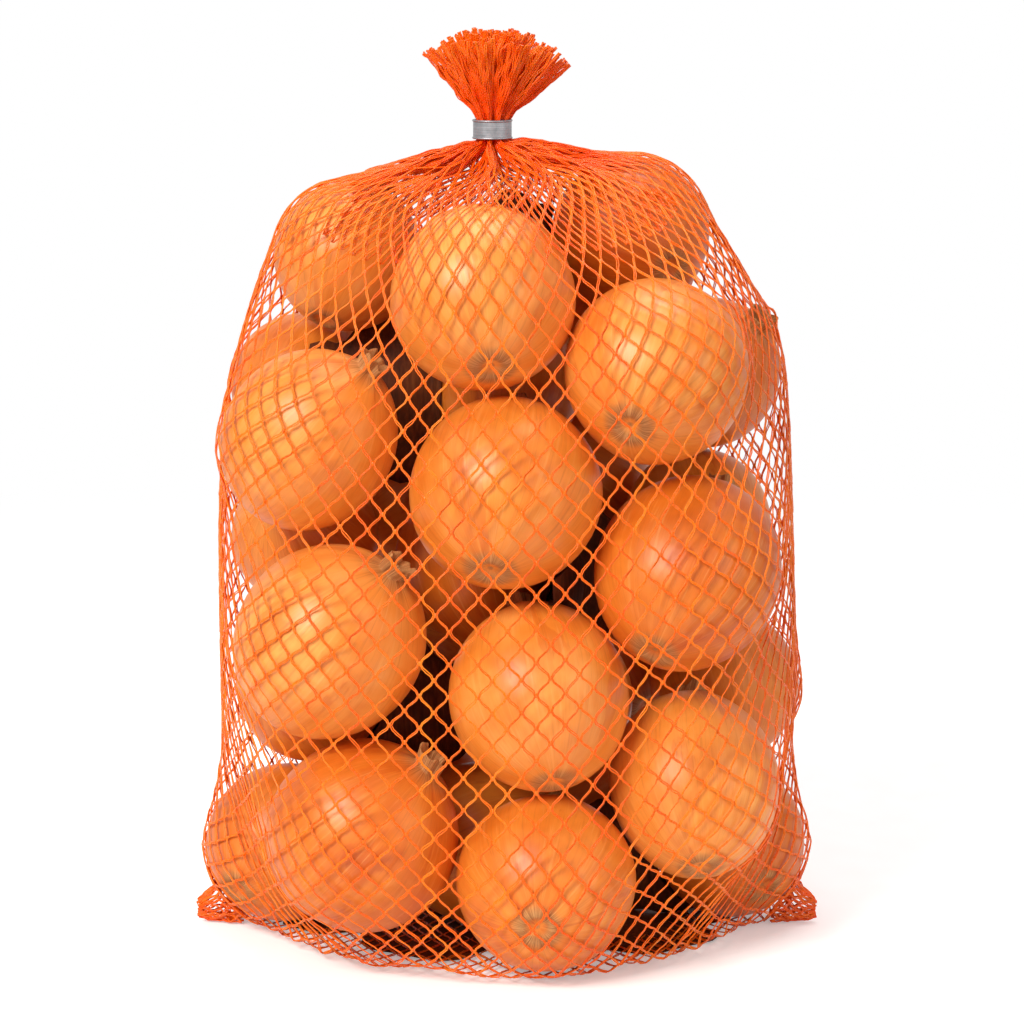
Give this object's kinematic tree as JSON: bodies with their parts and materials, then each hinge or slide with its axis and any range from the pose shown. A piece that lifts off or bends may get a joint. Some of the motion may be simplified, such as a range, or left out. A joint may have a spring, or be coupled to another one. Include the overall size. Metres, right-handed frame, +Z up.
{
  "type": "filled mesh produce bag",
  "caption": "Soft knitted net sack full of onions, sewn flat at the bottom and gathered at the top by a crimped metal ring, with a spread tuft of net above it.",
  "frame": {"origin": "on the floor, under the middle of the bag's bottom seam line", "axes": "+Z up through the bag, +X along the bottom seam towards the bag's right corner as seen from the front, +Y from the front of the bag to its back"},
  "size_m": [0.2569, 0.2154, 0.3631],
  "materials": {
    "net": "knitted plastic thread, soft gloss",
    "clip": "rolled, fine brushed",
    "onion": "dry papery skin with a silky sheen"
  },
  "bodies": {
    "bag": {"net_front": "net", "net_back": "net", "bottom_seam": "net", "corner_left": "net", "corner_right": "net", "onion_front_1": "onion", "onion_front_2": "onion", "onion_front_3": "onion", "onion_front_4": "onion", "onion_front_5": "onion", "onion_front_6": "onion", "onion_front_7": "onion", "onion_front_8": "onion", "onion_front_9": "onion", "onion_front_10": "onion", "onion_left_1": "onion", "onion_left_2": "onion", "onion_left_3": "onion", "onion_left_4": "onion", "onion_left_5": "onion", "onion_right_1": "onion", "onion_right_2": "onion", "onion_right_3": "onion", "onion_right_4": "onion", "onion_right_5": "onion", "onion_back_1": "onion", "onion_back_2": "onion", "onion_back_3": "onion", "onion_back_4": "onion", "onion_back_5": "onion", "onion_back_6": "onion", "onion_back_7": "onion", "onion_back_8": "onion", "onion_core_1": "onion", "onion_core_2": "onion", "onion_core_3": "onion", "onion_core_4": "onion"},
    "neck": {"net_neck": "net", "clip": "clip"},
    "tuft": {"net_tuft": "net"}
  },
  "joints": [
    {"name": "neck_lean", "type": "hinge", "parent": "bag", "child": "neck", "pos_m": [-0.0057, 0, 0.31857], "axis": [0, 1, 0], "range_deg": [-30, 30], "stiffness_Nm_per_rad": 0.02},
    {"name": "tuft_bend", "type": "hinge", "parent": "neck", "child": "tuft", "pos_m": [-0.0057, 0, 0.32987], "axis": [1, 0, 0], "range_deg": [-40, 40], "stiffness_Nm_per_rad": 0.01}
  ]
}
